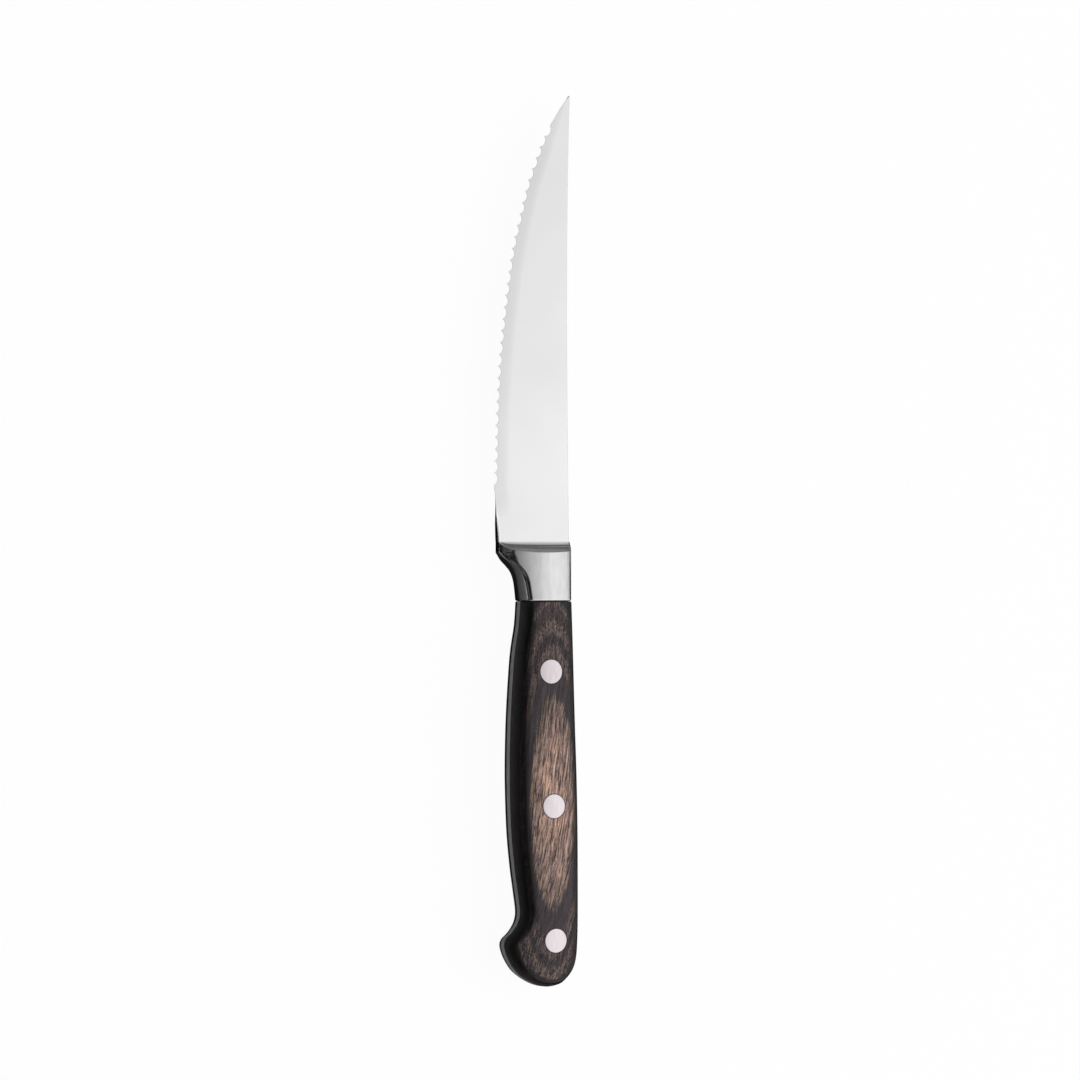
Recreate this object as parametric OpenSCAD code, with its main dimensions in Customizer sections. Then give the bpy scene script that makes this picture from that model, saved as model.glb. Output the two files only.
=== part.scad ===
/* [Blade] */
// Length of the blade from the bolster to the point
blade_length = 117.5; // [90:0.5:150]
// Depth of the blade from its back to the tooth points
blade_depth = 21.2; // [17:0.1:28]
// Thickness of the back of the blade at the bolster
back_thickness = 2; // [1.4:0.1:3]
// Thickness of the back of the blade at the point
point_thickness = 0.9; // [0.5:0.1:1.4]
// Thickness of the blade at the bolster where the flats meet the bevel
flat_thickness = 1.3; // [0.8:0.1:1.4]
// Width of the ground bevel along the edge
bevel_width = 4.2; // [2:0.1:6]
// Thickness left at the cutting edge
edge_thickness = 0.2; // [0.1:0.05:0.4]
// How far the back sinks below a straight line in its middle
back_sway = 0.42; // [0:0.02:1]
// How far the point rises above the line of the back
point_rise = 0.5; // [0:0.05:1.5]
// Height of the blunt end of the point
point_height = 0.2; // [0.1:0.05:0.5]

/* [Teeth] */
// Distance from one tooth to the next
tooth_pitch = 3.14; // [2:0.02:5]
// Depth of the scallop between two teeth
scallop_depth = 0.95; // [0.4:0.05:1.2]
// Plain edge left at the point
plain_point = 8; // [4:0.5:20]
// Plain edge left in front of the bolster
plain_heel = 14.8; // [10:0.1:30]

/* [Bolster] */
// Length of the bolster, its shoulder included
bolster_length = 15.85; // [12:0.05:24]
// Length of the hollow shoulder that rises from the blade
shoulder_length = 2.9; // [1.5:0.1:4]
// Thickness of the bolster behind its shoulder
bolster_thickness = 9.4; // [7:0.1:11]
// Depth of the heel below the line of the back
heel_depth = 20.55; // [17:0.05:27]
// Thickness of the lowest corner of the heel
heel_thickness = 2.5; // [1.6:0.1:4]
// Length over which the thick heel thins out into the edge
heel_run = 9; // [5:0.5:10]
// Height of the thick rim of the heel
heel_rim = 0.9; // [0.4:0.1:2]

/* [Handle] */
// Length of the handle behind the bolster
handle_length = 101.65; // [85:0.05:130]
// Depth of the belly of the handle below the line of the back
handle_depth = 17.5; // [14:0.1:24]
// Rise of the back of the handle above the line of the back
handle_rise = 2.1; // [0.5:0.1:4]
// Greatest thickness of the handle
handle_thickness = 13.6; // [12:0.1:18]
// Thickness of the handle at its butt end
butt_thickness = 9.4; // [8:0.1:12]
// Place of the greatest thickness, as a share of the handle's length
swell_share = 0.464; // [0.4:0.002:0.6]
// Radius of the sides across the handle
crown_radius = 39; // [25:0.5:80]
// Radius of the narrow faces across their thickness
rim_radius = 9.6; // [7:0.1:20]
// Width of the rounded corner between a side and a narrow face
corner_width = 1.6; // [0.8:0.1:2.2]
// Thickness of the tang between the scales
tang_thickness = 2; // [1.2:0.1:3]

/* [Rivets] */
// Diameter of the rivet heads
head_width = 6.35; // [5:0.05:8]
// Height of a rivet head from its seat to its crown
head_height = 2.2; // [1.4:0.1:3]
// Outer diameter of the sleeve
sleeve_width = 4; // [3.6:0.1:4.8]
// Diameter of the pin that is pressed into the sleeve
pin_width = 3; // [2:0.1:3.2]
// How far the sleeve reaches past the middle of the knife
sleeve_reach = 2.4; // [1.2:0.1:2.8]
// How far the pin reaches past the middle of the knife
pin_reach = 1.8; // [0.6:0.1:2.2]
// Distance from the bolster to the first rivet
first_rivet = 18.5; // [12:0.1:24]
// Distance from the last rivet to the end of the butt
last_rivet = 12.25; // [9:0.05:16]
// Depth of the three rivets below the line of the back
rivet_depths = [7.4, 6.8, 5.7]; // [4:0.1:10]

/* [Fits] */
// Gap round a rivet head in its counterbore
head_gap = 0.03; // [0.02:0.01:0.1]
// Gap round the sleeve in the scales
sleeve_gap = 0.1; // [0.05:0.01:0.2]
// Gap round the sleeve in the tang
tang_gap = 0.3; // [0.1:0.05:0.5]
// Gap round the pin in the sleeve
pin_gap = 0.02; // [0.01:0.01:0.05]
// Gap past the end of the pin in its hole
end_gap = 0.5; // [0.2:0.1:1]

/* [Hidden] */
$fn = 48;

// The knife is drawn from the shoulder, point towards +Y and back towards +X
shoulder_y = (handle_length + bolster_length - blade_length) / 2;
back_x = (blade_depth - handle_rise) / 2;
joint_y = -bolster_length;
swell_y = joint_y - handle_length * swell_share;
butt_run = handle_length * (1 - swell_share);
long_radius = butt_run * butt_run / (handle_thickness - butt_thickness);
crown_x = (handle_rise - handle_depth) / 2;
tang_half = tang_thickness / 2;
sink = 0.05;
overrun = 1;

// The edge from the point to the heel: shares of the blade's length and depth
edge_shares = [
    [0, 0], [0.018, 0.077], [0.036, 0.143], [0.072, 0.265], [0.1, 0.355], [0.144, 0.451],
    [0.2, 0.563], [0.27, 0.664], [0.345, 0.763], [0.45, 0.851], [0.555, 0.921],
    [0.66, 0.966], [0.76, 0.988], [0.874, 1], [0.89, 0.99]
];
// The belly from the bolster to the butt: shares of the handle's length and of its depth
belly_shares = [
    [0, 0.161], [0.06, 0.14], [0.122, 0.087], [0.184, 0.055], [0.309, 0.015], [0.45, 0],
    [0.589, 0.023], [0.683, 0.069], [0.748, 0.117], [0.791, 0.15], [0.813, 0.155],
    [0.831, 0.13], [0.847, 0.082], [0.861, 0.018], [0.872, -0.045], [0.885, -0.08],
    [0.901, -0.077], [0.927, -0.026], [0.958, 0.082], [0.981, 0.24], [0.995, 0.403], [1, 0.52]
];
// The back of the handle in the same shares
back_shares = [
    [0, 0.906], [0.122, 0.926], [0.309, 0.955], [0.45, 0.981], [0.589, 0.996], [0.72, 1],
    [0.84, 1], [0.9, 0.99], [0.927, 0.975], [0.948, 0.946], [0.968, 0.888],
    [0.988, 0.785], [0.996, 0.705], [1, 0.607]
];
// The underside of the bolster, from the heel (1) down to the handle (0)
throat_shares = [
    [0.2, 0.995], [0.26, 0.87], [0.32, 0.73], [0.42, 0.46], [0.52, 0.26],
    [0.65, 0.13], [0.82, 0.062], [1, 0.015]
];

// A point at a place t on the smooth curve through a list of points
function curve_at(points, t) =
    let (last = len(points) - 1, i = min(floor(t), last - 1), f = t - i)
    let (a = points[max(i - 1, 0)], b = points[i], c = points[i + 1], d = points[min(i + 2, last)])
    (2 * b + (c - a) * f + (2 * a - 5 * b + 4 * c - d) * f * f + (3 * b - a - 3 * c + d) * f * f * f) / 2;
function curve(points, steps) =
    [for (i = [0 : (len(points) - 1) * steps]) curve_at(points, i / steps)];
function mix(a, b, share) = a + (b - a) * share;
function reversed(list) = [for (i = [len(list) - 1 : -1 : 0]) list[i]];
function ease(share) = let (s = max(0, min(1, share))) s * s * (3 - 2 * s);

// The blade's outline: y runs from the shoulder to the point
function back_of_blade(y) =
    let (share = y / blade_length) point_rise * pow(share, 6) - back_sway * sin(180 * share);
fine_steps = 6;
edge_table = [
    for (p = curve(edge_shares, fine_steps))
        [blade_length * (1 - p.x), mix(point_rise - point_height, -blade_depth, p.y)]
];
heel_table = concat(edge_table, [[0, -heel_depth]]);
function edge_of_blade(y) = lookup(y, heel_table);
// Below 1 the bevel is a little round
bevel_belly = 0.8;
flat_lean = (back_thickness - flat_thickness) / 2 / (blade_depth - bevel_width);
function flat_half(x, y) =
    mix(back_thickness, point_thickness, y / blade_length) / 2 + flat_lean * x;

// One cross-section of the blade: back, bevel line, rim and edge, then the same behind
function blade_ring(y) =
    let (back = back_of_blade(y), edge = edge_of_blade(y), depth = back - edge)
    let (bevel = edge + min(bevel_width, depth / 2), rim = edge + min(heel_rim, depth / 4))
    let (heel = ease(1 - y / heel_run), sharp = ease((y - heel_run / 2) / (heel_run / 2)))
    let (bevel_half = flat_half(bevel, y), edge_half = edge_thickness / 2)
    let (thin_rim = mix(edge_half, bevel_half, pow((rim - edge) / (bevel - edge), bevel_belly)))
    let (rim_half = mix(flat_half(rim, y), thin_rim, sharp))
    let (blunt_half = mix(flat_half(edge, y), heel_thickness / 2, heel))
    let (low_half = mix(blunt_half, edge_half, sharp))
    [
        [back, y, flat_half(back, y)], [bevel, y, bevel_half],
        [rim, y, rim_half], [edge, y, low_half],
        [edge, y, -low_half], [rim, y, -rim_half],
        [bevel, y, -bevel_half], [back, y, -flat_half(back, y)]
    ];
// The root of the blade, hidden in the bolster: its reach against the shoulder, its depth
// against the heel and its corners down that depth
root_reach_share = 1.5;
root_depth_share = 0.8;
root_shares = [0, 0.4, 0.8, 1];
function root_ring() =
    let (y = -shoulder_length * root_reach_share, half = flat_thickness / 2)
    [
        for (side = [1, -1], share = side > 0 ? root_shares : reversed(root_shares))
            [
                mix(-heel_rim, -heel_depth * root_depth_share, share), y,
                side * half * (1 - share * share / 2)
            ]
    ];

// Half the thickness of handle and bolster on the crown line
function swell_half(y) = handle_thickness / 2 - pow(y - swell_y, 2) / (2 * long_radius);
function side_half(y) =
    y < joint_y ? swell_half(y)
    : mix(swell_half(joint_y), bolster_thickness / 2, (y - joint_y) / (bolster_length - shoulder_length));
function crown_half(x, y) = side_half(y) - pow(x - crown_x, 2) / (2 * crown_radius);
function rim_inset(z, low) = (z * z - low * low) / (2 * rim_radius);

// From the narrow face up over the rounded corner, at an outline point p with inward normal m
wall_steps = 3;
corner_steps = 4;
top_steps = 8;
function flank(p, m, low, wall, inset, fullness) =
    let (start = rim_inset(wall, low), end = p + inset * m, top = crown_half(end.x, end.y))
    let (lean = wall / rim_radius, slope = abs(end.x - crown_x) / crown_radius)
    let (meet = (top - slope * (inset - start + lean * wall)) / (1 - slope * lean))
    let (knee = [start + lean * (meet - wall), meet], chord = [(start + inset) / 2, (wall + top) / 2])
    let (a = [start, wall], b = mix(chord, knee, fullness), c = [inset, top])
    concat(
        [
            for (i = [0 : wall_steps - 1])
                let (z = mix(low, wall, i / wall_steps), q = p + rim_inset(z, low) * m) [q.x, q.y, z]
        ],
        [
            for (i = [0 : corner_steps])
                let (f = i / corner_steps, e = a * pow(1 - f, 2) + b * 2 * f * (1 - f) + c * f * f)
                let (q = p + e[0] * m) [q.x, q.y, e[1]]
        ]
    );
// Over the top from the back flank to the belly flank
function arch(back_side, belly_side) =
    let (a = back_side[len(back_side) - 1], b = belly_side[len(belly_side) - 1])
    concat(
        back_side,
        [
            for (i = [1 : top_steps - 1])
                let (q = mix(a, b, i / top_steps)) [q.x, q.y, crown_half(q.x, q.y)]
        ],
        reversed(belly_side)
    );

// The handle's outline as pairs of points, one pair for each station
function handle_point(p) =
    [mix(-handle_depth, handle_rise, p.y), joint_y - handle_length * p.x];
station_steps = 2;
belly_line = [for (p = curve(belly_shares, station_steps)) handle_point(p)];
back_table = [for (p = curve(back_shares, fine_steps)) let (q = handle_point(p)) [q.y, q.x]];
back_line = [for (p = belly_line) [lookup(p.y, back_table), p.y]];
stations = len(belly_line);
function inward(line, i, side) =
    i == 0 ? [-side, 0] : i == stations - 1 ? [0, 1]
    : let (d = line[i + 1] - line[i - 1]) side * [d.y, -d.x] / norm(d);
function corner_wall(p, m) =
    crown_half(p.x + m.x * corner_width, p.y + m.y * corner_width) - corner_width;
function corner_inset(p, m, low) = rim_inset(corner_wall(p, m), low) + corner_width;
function scale_side(line, i, side) =
    let (p = line[i], m = inward(line, i, side), wall = corner_wall(p, m))
    flank(p, m, tang_half, wall, corner_inset(p, m, tang_half), 1);
scale_rings = [
    for (i = [0 : stations - 1])
        arch(scale_side(back_line, i, 1), scale_side(belly_line, i, -1))
];

// The bolster's cross-sections from the joint to the shoulder, then down to the blade
throat_steps = 4;
throat_table = [
    for (p = curve(throat_shares, throat_steps))
        [-bolster_length * p.x, mix(belly_line[0].x, -heel_depth, p.y)]
];
function throat(y) = y > throat_table[0][0] ? -heel_depth : lookup(y, throat_table);
joint_wall = corner_wall(belly_line[0], [1, 0]);
joint_inset = corner_inset(belly_line[0], [1, 0], 0);
back_wall = corner_wall(back_line[0], [-1, 0]);
back_inset = corner_inset(back_line[0], [-1, 0], 0);
// Towards the heel the lower corner grows wider and flatter, and its wall thinner
heel_spread = 1.5;
heel_fullness = 0.5;
heel_start = -bolster_length * throat_shares[3].x;
heel_end = -bolster_length * throat_shares[0].x;
function bolster_side_ring(y) =
    let (low = ease((y - heel_start) / (heel_end - heel_start)), spread = ease(1 - 2 * y / joint_y))
    let (wall = mix(joint_wall, heel_thickness / 2, low), inset = joint_inset * mix(1, heel_spread, spread))
    let (thin = (bolster_thickness / 2) / side_half(joint_y))
    arch(
        flank([back_line[0].x, y], [-1, 0], 0, back_wall * thin, back_inset, 1),
        flank([throat(y), y], [1, 0], 0, wall, inset, mix(1, heel_fullness, low))
    );
// Above 1 the shoulder is hollow
hollow = 1.3;
function shoulder_point(p, share) =
    let (start = (flat_half(p.x, 0) - sink) * min(1, p.z / crown_half(p.x, p.y)), rise = pow(share, hollow))
    let (x = mix(-sink, sink - heel_depth, (back_line[0].x - p.x) / (back_line[0].x + heel_depth)))
    [mix(x, p.x, rise), -shoulder_length * share, mix(start, p.z, rise)];
function whole_ring(half) =
    concat(half, [for (i = [len(half) - 2 : -1 : 1]) [half[i].x, half[i].y, -half[i].z]]);
bolster_shares = [1, 0.9, 0.8, 0.7, 0.6, 0.52, 0.45, 0.38, 0.32, 0.26, 0.22];
shoulder_shares = [1, 0.86, 0.7, 0.5, 0.25, 0];
bolster_rings = concat(
    [for (share = bolster_shares) whole_ring(bolster_side_ring(-bolster_length * share))],
    [
        for (share = shoulder_shares)
            whole_ring([for (p = bolster_side_ring(-shoulder_length)) shoulder_point(p, share)])
    ]
);

// Skins a list of rings; the first and the last ring are flat unless fan is given
function skin_faces(rings, fan) =
    let (n = len(rings[0]), last = (len(rings) - 1) * n, knee = wall_steps + corner_steps)
    concat(
        [
            for (i = [0 : len(rings) - 2], j = [0 : n - 1], half = [0, 1])
                let (a = i * n + j, b = i * n + (j + 1) % n, c = a + n, d = b + n)
                half == 0 ? [a, b, d] : [a, d, c]
        ],
        [[for (j = [n - 1 : -1 : 0]) j]],
        !fan ? [[for (j = [0 : n - 1]) last + j]]
        : concat(
            [
                for (j = [0 : knee - 2], half = [0, 1])
                    let (a = last + j, b = a + 1, c = last + n - 1 - j, d = c - 1)
                    half == 0 ? [a, b, d] : [a, d, c]
            ],
            [for (j = [knee : n - knee - 2]) [last + knee - 1, last + j, last + j + 1]],
            [[last + knee - 1, last + n - 1 - knee, last + n - knee]]
        )
    );
module skin(rings, fan = false) {
    polyhedron(points = [for (ring = rings) each ring], faces = skin_faces(rings, fan));
}

// Everything is drawn about the shoulder and then set in its place
module in_place() {
    translate([back_x, shoulder_y, handle_thickness / 2]) children();
}

// The blade's cross-sections crowd towards the point
blade_steps = 34;
crowding = 1.5;
blade_rings = concat(
    [root_ring()],
    [
        for (i = [0 : blade_steps])
            blade_ring(blade_length * (1 - pow(1 - i / blade_steps, crowding)))
    ]
);
// Teeth lie at equal steps along the curve of the edge, counted from the heel
edge_bits = 200;
edge_step = (blade_length - plain_point - plain_heel) / edge_bits;
function edge_bit(y) = norm([edge_step, edge_of_blade(y + edge_step) - edge_of_blade(y)]);
edge_run = [
    for (
        i = 0, y = plain_heel, run = 0;
        i <= edge_bits;
        i = i + 1, run = run + edge_bit(y), y = y + edge_step
    ) [run, y]
];
toothed_run = edge_run[len(edge_run) - 1][0];
scallop_count = round(toothed_run / tooth_pitch);
scallop_pitch = toothed_run / scallop_count;
function tooth_point(i) = let (y = lookup(i * scallop_pitch, edge_run)) [edge_of_blade(y), y];
scallop_radius = (pow(scallop_pitch / 2, 2) + pow(scallop_depth, 2)) / (2 * scallop_depth);
module scallops() {
    for (i = [0 : scallop_count - 1]) {
        low = tooth_point(i);
        high = tooth_point(i + 1);
        out = [low.y - high.y, high.x - low.x] / norm(high - low);
        centre = (low + high) / 2 + out * (scallop_radius - scallop_depth);
        translate([centre.x, centre.y, -back_thickness])
            cylinder(r = scallop_radius, h = 2 * back_thickness);
    }
}

rivet_step = (handle_length - first_rivet - last_rivet) / (len(rivet_depths) - 1);
rivet_places = [
    for (i = [0 : len(rivet_depths) - 1]) [-rivet_depths[i], joint_y - first_rivet - i * rivet_step]
];
module tang() {
    tenon_y = joint_y / 2;
    inner = 2 * corner_width;
    root = [
        [belly_line[0].x + inner, joint_y], [belly_line[0].x + inner, tenon_y],
        [-inner, tenon_y], [-inner, joint_y]
    ];
    translate([0, 0, -tang_half])
        linear_extrude(tang_thickness)
            polygon(concat(reversed(belly_line), root, back_line));
}
module forged_blade() {
    color("gainsboro") in_place() difference() {
        union() {
            difference() {
                skin(blade_rings);
                scallops();
            }
            skin(bolster_rings);
            tang();
        }
        for (place = rivet_places)
            translate([place.x, place.y, -tang_thickness])
                cylinder(d = sleeve_width + 2 * tang_gap, h = 2 * tang_thickness);
    }
}

function seat_half(place) = crown_half(place.x, place.y) - head_height;
module scale() {
    difference() {
        skin(scale_rings, true);
        for (place = rivet_places) translate([place.x, place.y, 0]) {
            cylinder(d = sleeve_width + 2 * sleeve_gap, h = handle_thickness);
            translate([0, 0, seat_half(place)])
                cylinder(d = head_width + 2 * head_gap, h = handle_thickness);
        }
    }
}
module front_scale() {
    color("#5d4a44") in_place() scale();
}
module rear_scale() {
    color("#5d4a44") in_place() mirror([0, 0, 1]) scale();
}

// A rivet head, its top rounded and sloped as the side of the handle is there
module head(place) {
    top = side_half(place.y);
    tilt = atan((place.y - swell_y) / long_radius);
    intersection() {
        translate([place.x, place.y, seat_half(place)])
            cylinder(d = head_width, h = 2 * head_height);
        translate([crown_x, place.y, top])
            rotate([-tilt, 0, 0])
                translate([0, 0, -crown_radius])
                    rotate([90, 0, 0])
                        cylinder(r = crown_radius, h = 3 * head_width, center = true);
    }
}
module sleeve(place) {
    seat = seat_half(place);
    color("silver") in_place() difference() {
        union() {
            head(place);
            translate([place.x, place.y, -sleeve_reach])
                cylinder(d = sleeve_width, h = seat + sleeve_reach + head_height / 2);
        }
        translate([place.x, place.y, -sleeve_reach - overrun])
            cylinder(d = pin_width + 2 * pin_gap, h = sleeve_reach + overrun + pin_reach + end_gap);
    }
}
module pin(place) {
    seat = seat_half(place);
    color("silver") in_place() mirror([0, 0, 1]) union() {
        head(place);
        translate([place.x, place.y, -pin_reach])
            cylinder(d = pin_width, h = seat + pin_reach + head_height / 2);
    }
}

forged_blade();
front_scale();
rear_scale();
sleeve(rivet_places[0]);  // bolster_rivet_sleeve
sleeve(rivet_places[1]);  // middle_rivet_sleeve
sleeve(rivet_places[2]);  // butt_rivet_sleeve
pin(rivet_places[0]);  // bolster_rivet_pin
pin(rivet_places[1]);  // middle_rivet_pin
pin(rivet_places[2]);  // butt_rivet_pin
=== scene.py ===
# A steak knife on its side: forged steel, laminated wood scales, three pairs of rivets
import math

import bmesh
import bpy
import numpy as np
from mathutils import Matrix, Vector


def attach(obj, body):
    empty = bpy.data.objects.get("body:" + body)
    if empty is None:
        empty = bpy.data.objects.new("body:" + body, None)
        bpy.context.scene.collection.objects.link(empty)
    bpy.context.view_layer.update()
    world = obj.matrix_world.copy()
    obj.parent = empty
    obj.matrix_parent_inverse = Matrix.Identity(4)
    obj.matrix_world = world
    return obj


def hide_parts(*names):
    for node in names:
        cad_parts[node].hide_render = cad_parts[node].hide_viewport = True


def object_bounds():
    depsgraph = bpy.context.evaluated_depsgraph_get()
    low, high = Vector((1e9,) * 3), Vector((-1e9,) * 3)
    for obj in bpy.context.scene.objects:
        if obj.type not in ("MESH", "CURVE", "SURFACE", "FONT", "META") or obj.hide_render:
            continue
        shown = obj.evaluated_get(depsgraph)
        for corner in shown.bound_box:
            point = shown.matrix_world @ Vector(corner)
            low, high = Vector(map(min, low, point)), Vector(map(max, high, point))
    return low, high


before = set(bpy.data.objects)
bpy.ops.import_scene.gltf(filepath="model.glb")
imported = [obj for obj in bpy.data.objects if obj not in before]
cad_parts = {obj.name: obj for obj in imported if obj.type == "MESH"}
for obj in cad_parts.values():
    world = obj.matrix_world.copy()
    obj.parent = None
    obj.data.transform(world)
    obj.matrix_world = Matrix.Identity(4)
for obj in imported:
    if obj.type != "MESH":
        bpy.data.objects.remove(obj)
cadLow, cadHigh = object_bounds()
print("frame loaded")

mm = 0.001
tau = 2 * math.pi

# Everything is drawn in millimetres about the shoulder, where blade and bolster meet:
# the point lies towards +y, the back towards +x and the photographed side towards +z
blade = {
    "length": 117.5,
    "depth": 21.2,          # from the back to the tooth points
    "backThickness": 2.0,   # at the bolster
    "pointThickness": 0.9,
    "flatThickness": 1.3,   # where flat and bevel meet
    "bevelWidth": 4.2,
    "bevelFall": 0.036,     # slope of the front bevel; the rear one takes the rest
    "bevelSoft": 1.6,       # the bevel leaves the flat in a curve about this long
    "bevelFade": (12.0, 4.0),  # the bevel fades between these places towards the heel
    "edgeThickness": 0.12,
    "backRound": 0.15,
    "backSway": 0.42,
    "pointRise": 0.5,
    "pointHeight": 0.2,
}
teeth = {
    "pitch": 3.14,
    "depth": 0.95,
    "fluteFall": 0.3,       # slope of the flutes on the rear
    "plainPoint": 8.0,
    "plainHeel": 14.8,
    "stations": 12,         # cross-sections for one tooth
    "bits": 4000,           # steps in which the edge is measured
}
bolster = {
    "length": 15.85,
    "shoulder": 3.05,
    "thickness": 9.4,
    "heelDepth": 20.35,
    "heelThickness": 1.9,
    "heelRun": 9.0,
    "heelRim": 0.7,
    "hollow": 2.7,          # the shoulder's height grows with this power of the distance
    "creaseBend": 1.5,      # the larger, the straighter the crease runs across the shoulder
    "leastReach": 0.05,     # share of the shoulder that the crease keeps at the narrow faces
    "heelSpread": 1.5,
    "heelFullness": 0.5,
    "endRound": 0.55,
    "finishFade": 0.4,      # the blade's finish turns into the bolster's over this length
}
handle = {
    "length": 101.65,
    "depth": 17.5,
    "rise": 2.1,            # above the line of the blade's back
    "thickness": 13.6,
    "buttThickness": 9.4,
    "swellShare": 0.464,
    "crownRadius": 39.0,
    "rimRadius": 9.6,
    "corner": 1.6,          # width of the rounded corners
    "tang": 2.0,            # its thickness
    "jointGap": 0.1,
    "endRound": 0.22,
    "bellySanding": 0.37,   # the outline lies this far inside that of the solids
    "backSanding": 0.1,
}
rivets = {
    "headWidth": 6.35,
    "rimRound": 0.1,
    "depths": [7.4, 6.8, 5.7],  # below the back's line, from the bolster to the butt
    "first": 18.5,
    "last": 12.25,
    "reach": 2.2,
    "proud": 0.02,
    "around": 72,           # faces round a head
    "profile": 44,          # and from its middle to the end of its underside
}

shoulder = np.array([
    cadHigh.x / mm - handle["rise"],
    cadHigh.y / mm - blade["length"],
    (cadLow.z + cadHigh.z) / 2 / mm,
])
jointY = -bolster["length"]
swellY = jointY - handle["length"] * handle["swellShare"]
crownX = (handle["rise"] - handle["depth"]) / 2
tangHalf = handle["tang"] / 2
weldGap = 0.001
creaseAngle = 32.0          # degrees; sharper bends than this are shaded as edges


def rivetPlaces():
    step = (handle["length"] - rivets["first"] - rivets["last"]) / (len(rivets["depths"]) - 1)
    return [(-depth, jointY - rivets["first"] - i * step) for i, depth in enumerate(rivets["depths"])]


# Points listed as shares of length and depth; belly and back meet at the butt's middle
edgeShares = [
    [0, 0], [0.018, 0.077], [0.036, 0.143], [0.072, 0.265], [0.1, 0.355], [0.144, 0.451],
    [0.2, 0.563], [0.27, 0.664], [0.345, 0.763], [0.45, 0.851], [0.555, 0.921],
    [0.66, 0.966], [0.76, 0.988], [0.874, 1], [0.89, 0.99],
]
bellyShares = [
    [0, 0.161], [0.06, 0.14], [0.122, 0.087], [0.184, 0.055], [0.309, 0.015], [0.45, 0],
    [0.589, 0.023], [0.683, 0.069], [0.748, 0.117], [0.791, 0.15], [0.813, 0.155],
    [0.831, 0.13], [0.847, 0.082], [0.861, 0.018], [0.872, -0.045], [0.885, -0.08],
    [0.901, -0.077], [0.927, -0.026], [0.958, 0.082], [0.981, 0.24], [0.995, 0.403], [1, 0.56],
]
backShares = [
    [0, 0.906], [0.122, 0.926], [0.309, 0.955], [0.45, 0.981], [0.589, 0.996], [0.72, 1],
    [0.84, 1], [0.9, 0.99], [0.927, 0.975], [0.948, 0.946], [0.968, 0.888],
    [0.988, 0.785], [0.996, 0.705], [1, 0.56],
]
throatShares = [
    [0.2, 0.995], [0.26, 0.87], [0.32, 0.73], [0.42, 0.46], [0.52, 0.26],
    [0.65, 0.13], [0.82, 0.062], [1, 0.015],
]
curveSteps = {"edge": 40, "belly": 9, "back": 24, "throat": 12}


def mix(a, b, share):
    return a + (b - a) * share


def ease(share):
    s = np.clip(share, 0, 1)
    return s * s * (3 - 2 * s)


def curveThrough(points, steps, beyond=None):
    # a smooth curve through the points, each stretch cut into steps, heading for the one beyond
    p = np.array(points, float)
    padded = np.vstack([p[:1], p, p[-1:] if beyond is None else [beyond]])
    t = np.arange((len(p) - 1) * steps + 1) / steps
    i = np.minimum(t.astype(int), len(p) - 2)
    f = (t - i)[:, None]
    a, b, c, d = padded[i], padded[i + 1], padded[i + 2], padded[i + 3]
    return (2 * b + (c - a) * f + (2 * a - 5 * b + 4 * c - d) * f**2
            + (3 * b - a - 3 * c + d) * f**3) / 2


def addObject(name, data):
    piece = bpy.data.objects.new(name, data)
    bpy.context.collection.objects.link(piece)
    return piece


def store(piece, name, values):
    # keeps a number for every point of the piece
    kept = piece.data.attributes.new(name, "FLOAT", "POINT")
    kept.data.foreach_set("value", values)


def skin(name, rings, fanned=True):
    # a closed tube through rings of points in millimetres; the ends are fanned to their middles,
    # or the last ring has no width and is welded shut later
    stations, around = rings.shape[:2]
    points = np.vstack([rings.reshape(-1, 3), rings[0].mean(axis=0), rings[-1].mean(axis=0)])
    faces = []
    for i in range(stations - 1):
        for j in range(around):
            a, b = i * around + j, i * around + (j + 1) % around
            faces.append((a, b, b + around, a + around))
    first, last = stations * around, stations * around + 1
    end = (stations - 1) * around
    for j in range(around):
        k = (j + 1) % around
        faces.append((first, k, j))
        if fanned:
            faces.append((last, end + j, end + k))
    mesh = bpy.data.meshes.new(name)
    mesh.from_pydata(((points + shoulder) * mm).tolist(), [], faces)
    mesh.shade_smooth()
    mesh.set_sharp_from_angle(angle=math.radians(creaseAngle))
    return addObject(name, mesh)


def weld(piece):
    # joins the points that lie on each other and drops the loose ones
    work = bmesh.new()
    work.from_mesh(piece.data)
    bmesh.ops.remove_doubles(work, verts=work.verts, dist=weldGap * mm)
    bmesh.ops.delete(work, geom=[v for v in work.verts if not v.link_faces], context="VERTS")
    work.to_mesh(piece.data)
    work.free()


def addNode(tree, kind, inputs=None, **settings):
    # adds a node; an input is a value, a socket, or a node whose first output it takes
    node = tree.nodes.new(kind)
    for name, value in settings.items():
        setattr(node, name, value)
    for key, value in (inputs or {}).items():
        if isinstance(value, bpy.types.Node):
            value = value.outputs[0]
        if isinstance(value, bpy.types.NodeSocket):
            tree.links.new(value, node.inputs[key])
        else:
            node.inputs[key].default_value = value
    return node


def newTree(name, geometry, sizes):
    # a geometry tree, and its inputs by name
    tree = bpy.data.node_groups.new(name, "GeometryNodeTree")
    tree.interface.new_socket(geometry, in_out="INPUT", socket_type="NodeSocketGeometry")
    for size in sizes:
        tree.interface.new_socket(size, in_out="INPUT", socket_type="NodeSocketFloat")
    tree.interface.new_socket("Geometry", in_out="OUTPUT", socket_type="NodeSocketGeometry")
    given = addNode(tree, "NodeGroupInput").outputs
    return tree, {name: given[name] for name in (geometry, *sizes)}


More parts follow.
